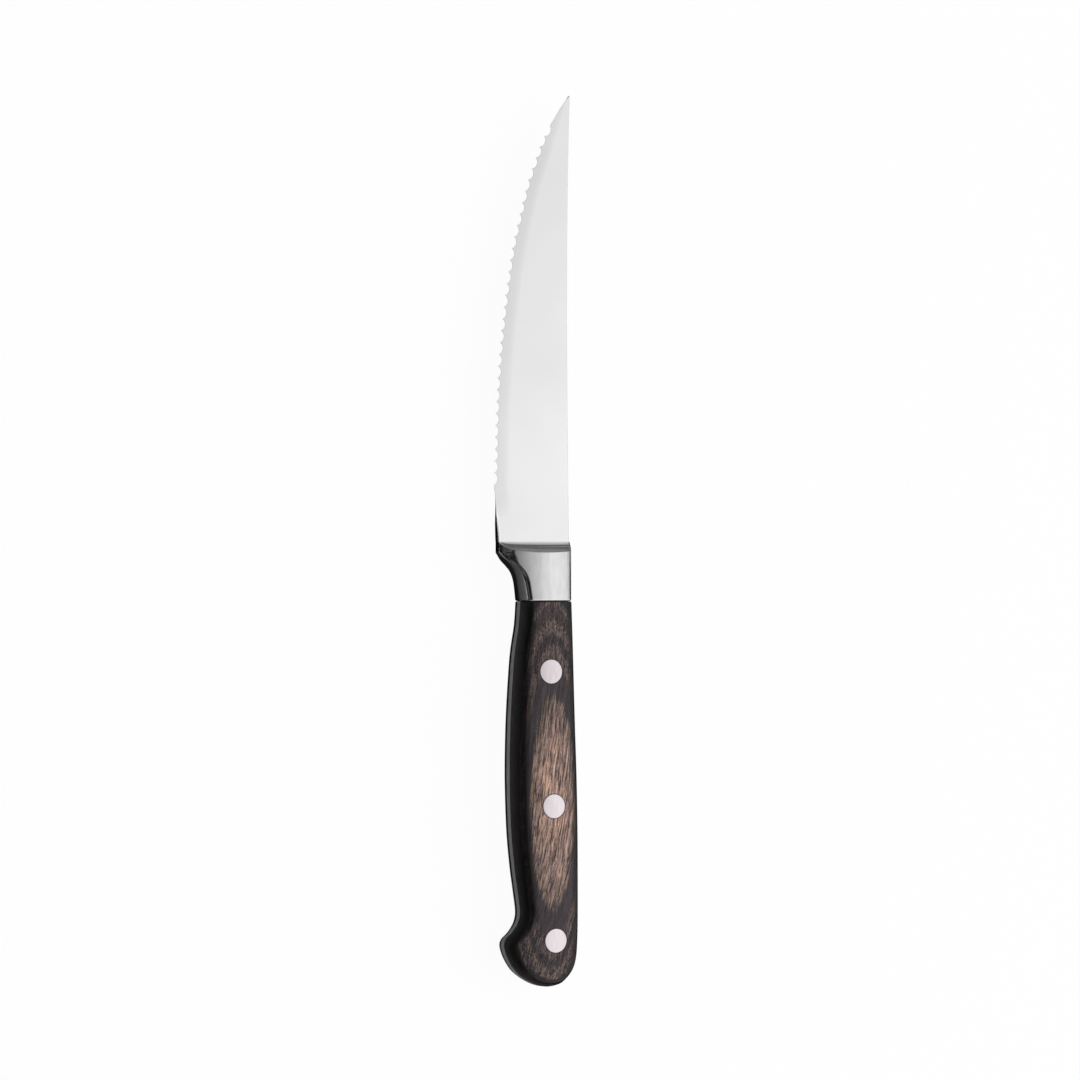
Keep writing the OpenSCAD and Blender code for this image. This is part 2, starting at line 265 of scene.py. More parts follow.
def applyTree(piece, tree, values):
    # runs the tree on the piece and keeps its plain mesh
    modifier = piece.modifiers.new(tree.name, "NODES")
    modifier.node_group = tree
    for item in tree.interface.items_tree:
        if item.in_out == "INPUT" and item.name in values:
            modifier[item.identifier] = values[item.name]
    graph = bpy.context.evaluated_depsgraph_get()
    mesh = bpy.data.meshes.new_from_object(
        piece.evaluated_get(graph), preserve_all_data_layers=True, depsgraph=graph)
    piece.modifiers.clear()
    piece.data = mesh
    return piece


def toLinear(hexColour):
    shares = [int(hexColour[i:i + 2], 16) / 255 for i in (1, 3, 5)]
    return tuple(
        v / 12.92 if v <= 0.04045 else ((v + 0.055) / 1.055) ** 2.4 for v in shares
    ) + (1.0,)


def newMaterial(name):
    material = bpy.data.materials.new(name)
    material.use_nodes = True
    material.node_tree.nodes.clear()
    return material, material.node_tree


def closeMaterial(tree, shader):
    addNode(tree, "ShaderNodeOutputMaterial", {"Surface": shader})


def grain(tree, place, spacing, detail, roughness=0.5, unit=mm):
    # a noise whose patches lie about this many millimetres apart along x, y and z; unit is a
    # millimetre in the place's own units
    scaled = addNode(tree, "ShaderNodeMapping", {
        "Vector": place, "Scale": tuple(1 / (gap * unit) for gap in spacing)})
    return addNode(tree, "ShaderNodeTexNoise", {
        "Vector": scaled, "Scale": 1.0, "Detail": detail, "Roughness": roughness})


def rampOver(tree, value, stops):
    # a colour ramp whose stops are given in the value's own units
    low, high = stops[0][0], stops[-1][0]
    share = addNode(tree, "ShaderNodeMapRange", {"Value": value, 1: low, 2: high})
    ramp = addNode(tree, "ShaderNodeValToRGB", {"Fac": share})
    marks = ramp.color_ramp.elements
    for k, (level, colour) in enumerate(stops):
        position = (level - low) / (high - low)
        mark = marks[k] if k < 2 else marks.new(position)
        mark.position = position
        mark.color = colour
    return ramp


noiseSpan = {1: 0.3, 2: 0.7}    # nearly all of a noise lies between these, From Min and From Max
lineDepth = 0.02

# Satin steel: ground across the blade with a fine belt; the bolster is buffed, so it is darker
# where it mirrors the room, and a little smeared by handling
satin = {
    "colour": "#F4F4F4",
    "cloudColour": "#EEEEEE",
    "bolsterColour": "#DCDCDC",
    "smearColour": "#D3D3D3",
    "roughness": 0.2,
    "bolsterRoughness": 0.17,
    "lineRoughness": 0.05,
    "lines": (14.0, 0.12, 25.0),  # spacing along x, y and z
    "clouds": (22.22, 22.22, 22.22),
    "smears": (1.6, 5.0, 10.0),
    "smearSpan": {1: 0.35, 2: 0.6},
    "bump": 0.03,
}


def satinSteel():
    material, tree = newMaterial("satin ground steel")
    place = addNode(tree, "ShaderNodeTexCoord").outputs["Object"]
    scratch = grain(tree, place, satin["lines"], 3.0, 0.6)
    cloud = grain(tree, place, satin["clouds"], 2.0)
    smear = grain(tree, place, satin["smears"], 4.0)
    finish = addNode(tree, "ShaderNodeAttribute", attribute_name="bolsterShare").outputs["Fac"]
    rough = addNode(tree, "ShaderNodeMapRange", {
        "Value": finish, 3: satin["roughness"], 4: satin["bolsterRoughness"]})
    rough = addNode(tree, "ShaderNodeMath", {
        0: scratch, 1: satin["lineRoughness"], 2: rough}, operation="MULTIPLY_ADD")
    finishes = []
    for noise, span, low, high in ((cloud, noiseSpan, "cloudColour", "colour"),
                                   (smear, satin["smearSpan"], "smearColour", "bolsterColour")):
        share = addNode(tree, "ShaderNodeMapRange", {"Value": noise, **span})
        finishes.append(addNode(tree, "ShaderNodeMix", {
            "Factor": share, 6: toLinear(satin[low]), 7: toLinear(satin[high])},
            data_type="RGBA").outputs[2])
    colour = addNode(tree, "ShaderNodeMix", {
        "Factor": finish, 6: finishes[0], 7: finishes[1]}, data_type="RGBA")
    bump = addNode(tree, "ShaderNodeBump", {
        "Height": scratch, "Strength": satin["bump"], "Distance": lineDepth * mm})
    closeMaterial(tree, addNode(tree, "ShaderNodeBsdfPrincipled", {
        "Base Color": colour.outputs[2], "Metallic": 1.0, "Roughness": rough, "Normal": bump}))
    return material


# The tang's narrow face is ground flush with the wood, duller than the blade
groundTang = {
    "name": "belt ground steel",
    "colour": "#C0C0C2",
    "metallic": 0.6,
    "roughness": {3: 0.44, 4: 0.56},
    "lines": (10 / 3, 4.0, 0.1),
    "bump": 0.1,
}
# Rivets of nickel silver, turned and sanded flush: pale and a little warm
nickel = {
    "name": "sanded nickel silver",
    "colour": "#E6DDE1",
    "metallic": 1.0,
    "roughness": {3: 0.25, 4: 0.38},
    "lines": (0.15, 3.0, 10.0),
    "bump": 0.06,
}


def groundMetal(metal):
    # an even metal with the fine lines of the belt that ground it
    material, tree = newMaterial(metal["name"])
    place = addNode(tree, "ShaderNodeTexCoord").outputs["Object"]
    scratch = grain(tree, place, metal["lines"], 2.0)
    rough = addNode(tree, "ShaderNodeMapRange", {
        "Value": scratch, **noiseSpan, **metal["roughness"]})
    bump = addNode(tree, "ShaderNodeBump", {
        "Height": scratch, "Strength": metal["bump"], "Distance": lineDepth * mm})
    closeMaterial(tree, addNode(tree, "ShaderNodeBsdfPrincipled", {
        "Base Color": toLinear(metal["colour"]), "Metallic": metal["metallic"],
        "Roughness": rough, "Normal": bump}))
    return material


# Dyed veneers pressed with resin: the swelling side cuts through them, so they show as rings.
# For each depth in millimetres from the middle of the knife: the colour, and how strongly the fibres
# show in it. The greys shallower than 4.7 mm lie only on the narrow faces and are a painted
# reflection and shade, lighter next to the tang and darker towards the rounded corners
veneersAndWallShade = [
    (0.9, "#888484", 0.2), (2.2, "#686464", 0.2), (3.7, "#423F40", 0.2), (4.4, "#2A2627", 0.2),
    (4.7, "#171315", 0.3), (4.86, "#4A3F3C", 1.0), (4.93, "#4C413E", 1.0), (4.97, "#342B2D", 0.8),
    (5.17, "#362D2F", 0.8), (5.23, "#4C413C", 1.0), (5.42, "#4E433E", 1.0), (5.47, "#2E2628", 0.8),
    (5.6, "#30282A", 0.8), (5.66, "#4A3F3D", 0.9), (5.87, "#473C3B", 0.9), (5.94, "#342C2F", 0.4),
    (6.25, "#342E32", 0.5), (6.34, "#69594F", 0.9), (6.55, "#7D695F", 1.0), (6.72, "#8E7569", 1.0),
    (6.85, "#987D70", 1.0),
]
wood = {
    "tilt": -0.0082,        # the veneers lie a little askew along the handle
    "lean": 0.02,           # and across it
    "slope": 0.13,          # the fibres run off the handle's length
    "bend": 0.0022,         # and more so towards the butt
    "bendStart": -10.0,
    "sway": 1.0,            # how far a fibre swings sideways on its way
    "darkest": 0.22,
    "darkTint": "#F5EFFF",  # dark fibres are a little violet, light ones a little yellow
    "lightTint": "#FFFAEF",
    "paintedShade": 0.04,    # painted shade: the narrow faces are painted this dark
    "glueRing": 0.14,       # round each rivet
    "glueShade": 0.35,
    "roughness": {3: 0.5, 4: 0.34},
    "bump": 0.15,
    "poreDepth": 0.03,
    "gloss": {"IOR": 1.38, "Coat Weight": 0.08, "Coat Roughness": 0.25},  # oiled
    "noises": {             # width and length of the patches, detail and roughness
        "slow": (6.0, 11.0, 1.0, 0.5),
        "speck": (0.32, 0.7, 2.0, 0.6),
        "fibre": (0.55, 9.0, 2.0, 0.6),
        "fine": (0.29, 4.6, 1.0, 0.5),
        "pore": (0.5, 11.0, 1.0, 0.5),
        "ridge": (0.63, 8.0, 1.0, 0.5),
    },
    "fray": {"slow": 0.06, "fibre": 0.26, "speck": 0.06},  # how far they carry a veneer's face
    "tones": {"fibre": 0.35, "fine": 0.62},  # how much lighter and darker they make the wood
    # a line where a noise crosses its middle: half its width in the noise, its strength, and that
    # of the wood beside it
    "lines": {"pore": (0.07, -0.8, 0.16), "ridge": (0.06, 0.9, -0.14)},
    "fibreSpan": {1: 0.36, 2: 0.64},
    "speckTones": {3: -0.85, 4: 1.1},
    "speckFade": {1: 5.5, 2: 6.3, 3: 1.0, 4: 0.35},  # fewer specks deep down
}


def laminatedWood():
    material, tree = newMaterial("laminated dyed beech")
    place = addNode(tree, "ShaderNodeTexCoord").outputs["Object"]
    middle = addNode(tree, "ShaderNodeMapping", {
        "Vector": place, "Location": tuple(-shoulder), "Scale": (1 / mm, 1 / mm, 1 / mm)})
    known = dict(addNode(tree, "ShaderNodeSeparateXYZ", {"Vector": middle}).outputs.items())

    def makeNoises(source, *names):
        for name in names:
            width, length, detail, roughness = wood["noises"][name]
            known[name] = grain(tree, source, (width, length, width), detail, roughness, 1)

    makeNoises(middle, "slow", "speck")
    # the fibres slope, bend towards the butt and sway sideways as they run; the veneers lie askew
    for name, operation, *terms in (
        ("along", "SUBTRACT", "Y", swellY),
        ("past", "SUBTRACT", "along", wood["bendStart"]),
        ("past", "MINIMUM", "past", 0.0),
        ("bent", "MULTIPLY", "past", "past"),
        ("bent", "MULTIPLY", "bent", wood["bend"]),
        ("aside", "MULTIPLY_ADD", "along", -wood["slope"], "bent"),
        ("swing", "MULTIPLY_ADD", "slow", wood["sway"], "aside"),
        ("depth", "ABSOLUTE", "Z"),
        ("depth", "MULTIPLY_ADD", "along", wood["tilt"], "depth"),
        ("across", "SUBTRACT", "X", crownX),
        ("depth", "MULTIPLY_ADD", "across", wood["lean"], "depth"),
    ):
        inputs = {i: known.get(term, term) for i, term in enumerate(terms)}
        known[name] = addNode(tree, "ShaderNodeMath", inputs, operation=operation)
    swing = addNode(tree, "ShaderNodeCombineXYZ", {"X": known["swing"]})
    swayed = addNode(tree, "ShaderNodeVectorMath", {0: middle, 1: swing}, operation="ADD")
    makeNoises(swayed, "fibre", "fine", "pore", "ridge")
    depth = known["depth"]
    for name, reach in wood["fray"].items():
        depth = addNode(tree, "ShaderNodeMath", {
            0: known[name], 1: reach, 2: depth}, operation="MULTIPLY_ADD")
        depth = addNode(tree, "ShaderNodeMath", {0: depth, 1: reach / 2}, operation="SUBTRACT")
    # the veneers' colours, with the painted reflection and shade of the narrow faces below 4.7 mm
    layers = rampOver(tree, depth, [
        (level, toLinear(colour)[:3] + (figure,)) for level, colour, figure in veneersAndWallShade])
    # light and dark fibres, dark pores, light ridges, and specks that are strongest where the
    # veneers run out at the two ends
    figure = 1.0
    for name, reach in wood["tones"].items():
        tone = addNode(tree, "ShaderNodeMapRange", {
            "Value": known[name], 1: 0.5 - reach / 4, 2: 0.5 + reach / 4, 3: -reach, 4: reach})
        figure = addNode(tree, "ShaderNodeMath", {0: tone, 1: figure}, operation="ADD")
    for name, (reach, peak, rest) in wood["lines"].items():
        line = addNode(tree, "ShaderNodeMath", {0: known[name], 1: 0.5}, operation="SUBTRACT")
        line = addNode(tree, "ShaderNodeMath", {0: line}, operation="ABSOLUTE")
        line = addNode(tree, "ShaderNodeMapRange", {"Value": line, 2: reach, 3: peak, 4: rest})
        figure = addNode(tree, "ShaderNodeMath", {0: line, 1: figure}, operation="ADD")
    speckled = addNode(tree, "ShaderNodeMapRange", {"Value": depth, **wood["speckFade"]})
    dots = addNode(tree, "ShaderNodeMapRange", {
        "Value": known["speck"], **wood["fibreSpan"], **wood["speckTones"]})
    figure = addNode(tree, "ShaderNodeMath", {
        0: dots, 1: speckled, 2: figure}, operation="MULTIPLY_ADD")
    figure = addNode(tree, "ShaderNodeMix", {
        "Factor": layers.outputs["Alpha"], 2: 1.0, 3: figure}, data_type="FLOAT")
    figure = addNode(tree, "ShaderNodeMath", {0: figure, 1: wood["darkest"]}, operation="MAXIMUM")
    # painted shade on the narrow faces and their rounded corners, darkest on the rear scale, and a
    # ring of dark glue round every rivet
    narrow = addNode(tree, "ShaderNodeAttribute", attribute_name="narrow")
    shade = addNode(tree, "ShaderNodeMapRange", {
        "Value": narrow.outputs["Fac"], 3: 1.0, 4: wood["paintedShade"]})
    rim = rivets["headWidth"] / 2
    for x, y in rivetPlaces():
        off = addNode(tree, "ShaderNodeVectorMath", {0: middle, 1: (x, y, 0)}, operation="SUBTRACT")
        off = addNode(tree, "ShaderNodeVectorMath", {0: off, 1: (1, 1, 0)}, operation="MULTIPLY")
        off = addNode(tree, "ShaderNodeVectorMath", {0: off}, operation="LENGTH")
        ring = addNode(tree, "ShaderNodeMapRange", {
            "Value": off.outputs["Value"], 1: rim + wood["glueRing"], 2: rim + 2 * wood["glueRing"],
            3: wood["glueShade"]})
        shade = addNode(tree, "ShaderNodeMath", {0: shade, 1: ring}, operation="MULTIPLY")
    shade = addNode(tree, "ShaderNodeMath", {0: shade, 1: figure}, operation="MULTIPLY")
    colour = addNode(tree, "ShaderNodeVectorMath", {
        0: layers.outputs["Color"], "Scale": shade}, operation="SCALE")
    light = addNode(tree, "ShaderNodeMapRange", {"Value": known["fibre"], **wood["fibreSpan"]})
    tint = addNode(tree, "ShaderNodeMix", {
        "Factor": light, 6: toLinear(wood["darkTint"]), 7: toLinear(wood["lightTint"])},
        data_type="RGBA")
    colour = addNode(tree, "ShaderNodeVectorMath", {
        0: colour, 1: tint.outputs[2]}, operation="MULTIPLY")
    rough = addNode(tree, "ShaderNodeMapRange", {
        "Value": known["fibre"], **noiseSpan, **wood["roughness"]})
    bump = addNode(tree, "ShaderNodeBump", {
        "Height": figure, "Strength": wood["bump"], "Distance": wood["poreDepth"] * mm})
    closeMaterial(tree, addNode(tree, "ShaderNodeBsdfPrincipled", {
        "Base Color": colour, "Roughness": rough, "Normal": bump, **wood["gloss"]}))
    return material


# Sections of handle and bolster, half of the thickness at a time
def swellHalf(y):
    run = handle["length"] * (1 - handle["swellShare"])
    fall = (handle["thickness"] - handle["buttThickness"]) / 2
    return handle["thickness"] / 2 - fall * ((y - swellY) / run) ** 2


def sideHalf(y):
    along = (y - jointY) / (bolster["length"] - bolster["shoulder"])
    inBolster = mix(swellHalf(jointY), bolster["thickness"] / 2, along)
    return np.where(y < jointY, swellHalf(y), inBolster)


def crownHalf(x, y):
    return sideHalf(y) - (x - crownX) ** 2 / (2 * handle["crownRadius"])


def rimInset(z, low):
    return (z * z - low * low) / (2 * handle["rimRadius"])


def handlePoint(p):
    belly, back = handle["bellySanding"] - handle["depth"], handle["rise"] - handle["backSanding"]
    x = mix(belly, back, p[:, 1])
    return np.column_stack([x, jointY - handle["length"] * p[:, 0]])


def flank(p, inward, low, wall, inset, fullness, wallCount, cornerCount):
    # from the narrow face up over the rounded corner to the crowned side
    start = rimInset(wall, low)
    end = p + inset * inward
    top = crownHalf(end[0], end[1])
    lean = wall / handle["rimRadius"]
    slope = abs(end[0] - crownX) / handle["crownRadius"]
    meet = (top - slope * (inset - start + lean * wall)) / (1 - slope * lean)
    knee = np.array([start + lean * (meet - wall), meet])
    chord = np.array([(start + inset) / 2, (wall + top) / 2])
    a, b, c = np.array([start, wall]), mix(chord, knee, fullness), np.array([inset, top])
    z = np.linspace(low, wall, wallCount, endpoint=False)
    face = np.column_stack([rimInset(z, low), z])
    f = np.linspace(0, 1, cornerCount)[:, None]
    corner = a * (1 - f) ** 2 + b * 2 * f * (1 - f) + c * f * f
    both = np.vstack([face, corner])
    place = p + both[:, :1] * inward
    return np.column_stack([place, both[:, 1]])


def cornerWall(p, inward):
    return crownHalf(*(p + inward * handle["corner"])) - handle["corner"]


def arch(backSide, bellySide, topCount):
    f = (np.arange(1, topCount) / topCount)[:, None]
    top = mix(backSide[-1], bellySide[-1], f)
    top[:, 2] = crownHalf(top[:, 0], top[:, 1])
    return np.vstack([backSide, top, bellySide[::-1]])


bellyTable = handlePoint(curveThrough(bellyShares, curveSteps["belly"], backShares[-2]))
backTable = handlePoint(curveThrough(backShares, curveSteps["back"], bellyShares[-2]))
backLine = np.column_stack([
    np.interp(-bellyTable[:, 1], -backTable[:, 1], backTable[:, 0]), bellyTable[:, 1]])
jointBelly, jointBack = bellyTable[0], backLine[0]

# The blade's outline
edgeTable = curveThrough(edgeShares, curveSteps["edge"])
edgeY = blade["length"] * (1 - edgeTable[:, 0])
edgeX = mix(blade["pointRise"] - blade["pointHeight"], -blade["depth"], edgeTable[:, 1])
edgeY, edgeX = np.append(edgeY, 0)[::-1], np.append(edgeX, -bolster["heelDepth"])[::-1]


def edgeAt(y):
    return np.interp(y, edgeY, edgeX)


def backAt(y):
    share = y / blade["length"]
    return blade["pointRise"] * share**6 - blade["backSway"] * math.sin(math.pi * share)


flatFall = (blade["backThickness"] - blade["flatThickness"]) / 2
flatLean = flatFall / (blade["depth"] - blade["bevelWidth"])


def flatHalf(x, y):
    thickness = mix(blade["backThickness"], blade["pointThickness"], y / blade["length"])
    return thickness / 2 + flatLean * x


# Points of half a section: back face, back corner, side, bevel or lower corner, edge face
counts = {"back": 5, "corner": 8, "side": 18, "strip": 26, "edge": 5}
# Sections along each stretch of the forged piece; near the point they crowd with this power
stretches = {"point": 26, "heel": 39, "shoulder": 24, "bolster": 55, "end": 6}
pointCrowding = 1.3


def bevelDrop(distance):
    # how far the bevel has turned away at this distance from the flat, for a slope of one
    return np.hypot(distance, blade["bevelSoft"]) - blade["bevelSoft"]


def bladeSection(y):
    # the front and rear halves of a section of the blade, from the back down to the edge
    back, edge = backAt(y), edgeAt(y)
    depth = back - edge
    heel = ease(1 - y / bolster["heelRun"])
    start, end = blade["bevelFade"]
    sharp = ease((y - end) / (start - end))
    spread = bolsterInset() * bolster["heelSpread"]
    width = mix(spread, min(blade["bevelWidth"], depth / 2), ease(y / bolster["heelRun"]))
    line = edge + width
    rounding = min(blade["backRound"], depth / 8)
    high = flatHalf(back, y)
    lip = flatHalf(edge, y) - blade["bevelFall"] * bevelDrop(width)
    rearFall = (flatHalf(edge, y) - blade["edgeThickness"] + lip) / bevelDrop(width)
    halves = []
    for side, fall in ((1, blade["bevelFall"]), (-1, rearFall)):
        z = np.linspace(0, high - rounding, counts["back"], endpoint=False)
        wall = np.column_stack([np.full(len(z), back), z])
        turn = np.linspace(0, math.pi / 2, counts["corner"], endpoint=False)
        corner = np.column_stack([
            back - rounding * (1 - np.cos(turn)), high - rounding * (1 - np.sin(turn))])
        x = np.linspace(back - rounding, line, counts["side"], endpoint=False)
        flat = np.column_stack([x, flatHalf(x, y)])
        s = np.linspace(1, 0, counts["strip"])
        x = edge + width * s
        level = flatHalf(x, y)
        ground = level - fall * bevelDrop(width * (1 - s))
        rim = np.clip(1 - width * s / bolster["heelRim"], 0, 1) ** 2
        blunt = level + (bolster["heelThickness"] / 2 * heel + level * (1 - heel) - level) * rim
        z = mix(blunt, ground, sharp)
        strip = np.column_stack([x, z])
        middle = side * mix(0, lip - blade["edgeThickness"] / 2, sharp)
        z = np.linspace(strip[-1, 1], middle, counts["edge"] + 1)[1:]
        face = np.column_stack([np.full(len(z), edge), z])
        halves.append(np.vstack([wall, corner, flat, strip, face]))
    return halves


def bolsterInset():
    wall = cornerWall(jointBelly, np.array([1.0, 0.0]))
    return rimInset(wall, 0) + handle["corner"]


throatTable = curveThrough(throatShares, curveSteps["throat"])
throatY = -bolster["length"] * throatTable[:, 0]
throatX = mix(jointBelly[0], -bolster["heelDepth"], throatTable[:, 1])


def throatAt(y):
    return np.interp(-y, -throatY, throatX, left=-bolster["heelDepth"])


def bolsterSection(y):
    heelStart = -bolster["length"] * throatShares[3][0]
    heelEnd = -bolster["length"] * throatShares[0][0]
    low = ease((y - heelStart) / (heelEnd - heelStart))
    spread = ease(1 - 2 * y / jointY)
    right, left = np.array([1.0, 0.0]), np.array([-1.0, 0.0])
    wall = mix(cornerWall(jointBelly, right), bolster["heelThickness"] / 2, low)
    inset = bolsterInset() * mix(1, bolster["heelSpread"], spread)
    thin = (bolster["thickness"] / 2) / sideHalf(jointY)
    backWall = cornerWall(jointBack, left) * thin
    backInset = rimInset(cornerWall(jointBack, left), 0) + handle["corner"]
    half = arch(
        flank(np.array([jointBack[0], y]), left, 0, backWall, backInset, 1,
              counts["back"], counts["corner"] + 1),
        flank(np.array([throatAt(y), y]), right, 0, wall, inset,
              mix(1, bolster["heelFullness"], low), counts["edge"], counts["strip"]),
        counts["side"])
    return half[:, [0, 2]]


def atY(section, y):
    return np.column_stack([section[:, 0], np.full(len(section), y), section[:, 1]])


def forgedRings():
    # cross-sections from the point to the joint
    toothEnd = blade["length"] - teeth["plainPoint"]
    tip = blade["length"] - teeth["plainPoint"] * (
        np.linspace(0, 1, stretches["point"], endpoint=False) ** pointCrowding)
    bits = np.linspace(teeth["plainHeel"], toothEnd, teeth["bits"])
    run = np.append(0, np.cumsum(np.hypot(np.diff(bits), np.diff(edgeAt(bits)))))
    number = round(run[-1] / teeth["pitch"])
    runs = np.linspace(run[-1], 0, number * teeth["stations"] + 1)
    toothed = np.interp(runs, run, bits)
    heel = np.linspace(teeth["plainHeel"], 0, stretches["heel"] + 1)[1:]
    ys = np.concatenate([tip, toothed, heel])
    runOf = np.concatenate([np.full(len(tip), -1.0), runs, np.full(len(heel), -1.0)])
    fronts, rears = [], []
    for y in ys:
        front, rear = bladeSection(y)
        fronts.append(atY(front, y))
        rears.append(atY(rear, y))
    foot = fronts[-1]
    # the shoulder climbs from the blade and ends where it meets the rounded bolster
    crest = bolsterSection(-bolster["shoulder"])
    base = blade["backThickness"] / 2
    rise = np.clip((crest[:, 1] - base) / (sideHalf(-bolster["shoulder"]) - base), 0, 1)
    reach = bolster["shoulder"] * np.maximum(
        rise ** (1 / bolster["creaseBend"]), bolster["leastReach"])
    start = np.array([[*bolsterSection(-r)[j], -r] for j, r in enumerate(reach)])
    for share in np.linspace(0, 1, stretches["shoulder"] + 1)[1:]:
        climb = share ** bolster["hollow"]
        ring = np.column_stack([
            mix(foot[:, 0], start[:, 0], climb), -reach * share,
            mix(foot[:, 2], start[:, 1], climb)])
        fronts.append(ring)
    end = jointY + bolster["endRound"]
    for share in np.linspace(0, 1, stretches["bolster"] + 1)[1:]:
        y = mix(-reach, end, share)
        ring = np.array([[*bolsterSection(v)[j], v] for j, v in enumerate(y)])
        fronts.append(ring[:, [0, 2, 1]])
    # the rounded end at the joint, drawn in square to the section
    section = bolsterSection(end)
    along = np.gradient(section, axis=0)
    normal = np.column_stack([-along[:, 1], along[:, 0]])
    normal /= np.linalg.norm(normal, axis=1)[:, None]
    for turn in np.linspace(0, math.pi / 2, stretches["end"] + 1)[1:]:
        inset = bolster["endRound"] * (1 - math.cos(turn))
        moved = section + normal * inset
        moved[:, 1] = np.maximum(moved[:, 1], 0)
        fronts.append(atY(moved, end - bolster["endRound"] * math.sin(turn)))
    mirrored = [ring * [1, 1, -1] for ring in fronts[len(rears):]]
    rears = [ring * [1, 1, -1] for ring in rears] + mirrored
    runOf = np.append(runOf, np.full(len(fronts) - len(runOf), -1.0))
    rings = np.array([np.vstack([f, r[-2:0:-1]]) for f, r in zip(fronts, rears)])
    return rings, runOf, run[-1] / number


def toothTree(material):
    # grinds the scallops into the edge and their flutes into the rear of the bevel
    tree, given = newTree("toothGrinder", "Geometry", (
        "Tooth pitch", "Scallop depth", "Flute fall", "Edge thickness",
        "Flat lean", "Bevel fall", "Bevel soft", "Middle height"))
    known = dict(given)
    for name in ("run", "toEdge", "across", "bevel", "bevelHalf", "inward"):
        known[name] = addNode(tree, "GeometryNodeInputNamedAttribute", {"Name": name},
                              data_type="FLOAT_VECTOR" if name == "inward" else "FLOAT")
    # depth of the scallop at this place along the edge: an arc through two tooth points
    sums = [
        ("halfPitch", "MULTIPLY", "Tooth pitch", 0.5),
        ("square", "MULTIPLY", "halfPitch", "halfPitch"),
        ("square", "MULTIPLY_ADD", "Scallop depth", "Scallop depth", "square"),
        ("radius", "DIVIDE", "square", "Scallop depth"),
        ("radius", "MULTIPLY", "radius", 0.5),
        ("turns", "DIVIDE", "run", "Tooth pitch"),
        ("phase", "FRACT", "turns"),
        ("phase", "SUBTRACT", "phase", 0.5),
        ("chord", "MULTIPLY", "phase", "Tooth pitch"),
        ("chord", "MULTIPLY", "chord", "chord"),
        ("inside", "MULTIPLY", "radius", "radius"),
        ("inside", "SUBTRACT", "inside", "chord"),
        ("inside", "MAXIMUM", "inside", 0.0),
        ("arc", "SQRT", "inside"),
        ("arc", "SUBTRACT", "arc", "radius"),
        ("arc", "ADD", "arc", "Scallop depth"),
        ("arc", "MAXIMUM", "arc", 0.0),
        # the shift fades out towards the top of the bevel
        ("left", "SUBTRACT", 1.0, "toEdge"),
        ("shift", "MULTIPLY", "arc", "left"),
        ("reach", "MULTIPLY_ADD", "toEdge", "bevel", "shift"),
    ]
    # the flat's own level, the bevel's drop from it and the front's height: at this point, at the
    # scallop's rim and at a tooth's point
    for spot, distance in (("here", "reach"), ("rim", "arc"), ("tooth", 0.0)):
        away, level, drop, front = spot + "Away", spot + "Level", spot + "Drop", spot + "Front"
        sums += [
            (away, "SUBTRACT", "bevel", distance),
            (level, "MULTIPLY", away, "Flat lean"),
            (level, "SUBTRACT", "bevelHalf", level),
            (away, "MULTIPLY", away, away),
            (away, "MULTIPLY_ADD", "Bevel soft", "Bevel soft", away),
            (away, "SQRT", away),
            (drop, "SUBTRACT", away, "Bevel soft"),
            (front, "MULTIPLY", drop, "Bevel fall"),
            (front, "SUBTRACT", level, front),
        ]
    # the rear bevel falls from the flat to the edge's thickness behind the front one
    sums += [
        ("fall", "ADD", "toothLevel", "toothFront"),
        ("fall", "SUBTRACT", "fall", "Edge thickness"),
        ("fall", "DIVIDE", "fall", "toothDrop"),
        ("rear", "MULTIPLY", "fall", "hereDrop"),
        ("rear", "SUBTRACT", "rear", "hereLevel"),
        ("foot", "SUBTRACT", "rimFront", "Edge thickness"),
        ("flute", "SUBTRACT", "arc", "reach"),
        ("flute", "MULTIPLY_ADD", "flute", "Flute fall", "foot"),
        ("rear", "MAXIMUM", "rear", "flute"),
    ]
    for name, operation, *terms in sums:
        inputs = {i: known.get(term, term) for i, term in enumerate(terms)}
        known[name] = addNode(tree, "ShaderNodeMath", inputs, operation=operation)
    height = addNode(tree, "ShaderNodeMix", {
        0: known["across"], 2: known["hereFront"], 3: known["rear"]}, data_type="FLOAT")
    height = addNode(tree, "ShaderNodeMath", {0: height, 1: given["Middle height"]}, operation="ADD")
    moved = addNode(tree, "ShaderNodeVectorMath", {
        0: known["inward"], "Scale": known["shift"]}, operation="SCALE")
    place = addNode(tree, "GeometryNodeInputPosition")
    moved = addNode(tree, "ShaderNodeVectorMath", {0: place, 1: moved}, operation="ADD")
    parts = addNode(tree, "ShaderNodeSeparateXYZ", {"Vector": moved})
    moved = addNode(tree, "ShaderNodeCombineXYZ", {
        "X": parts.outputs["X"], "Y": parts.outputs["Y"], "Z": height})
    # sections without teeth have a run of -1, and the bevel ends where toEdge reaches 1
    toothed = addNode(tree, "FunctionNodeCompare", {
        0: known["run"], 1: -0.5 * mm}, data_type="FLOAT", operation="GREATER_THAN")
    low = addNode(tree, "FunctionNodeCompare", {
        0: known["toEdge"], 1: 0.9999}, data_type="FLOAT", operation="LESS_THAN")
    chosen = addNode(tree, "FunctionNodeBooleanMath", {0: toothed, 1: low}, operation="AND")
    ground = addNode(tree, "GeometryNodeSetPosition", {
        "Geometry": given["Geometry"], "Selection": chosen, "Position": moved})
    real = addNode(tree, "GeometryNodeRealizeInstances", {"Geometry": ground})
    dressed = addNode(tree, "GeometryNodeSetMaterial", {"Geometry": real, "Material": material})
    addNode(tree, "NodeGroupOutput", {0: dressed})
    return tree


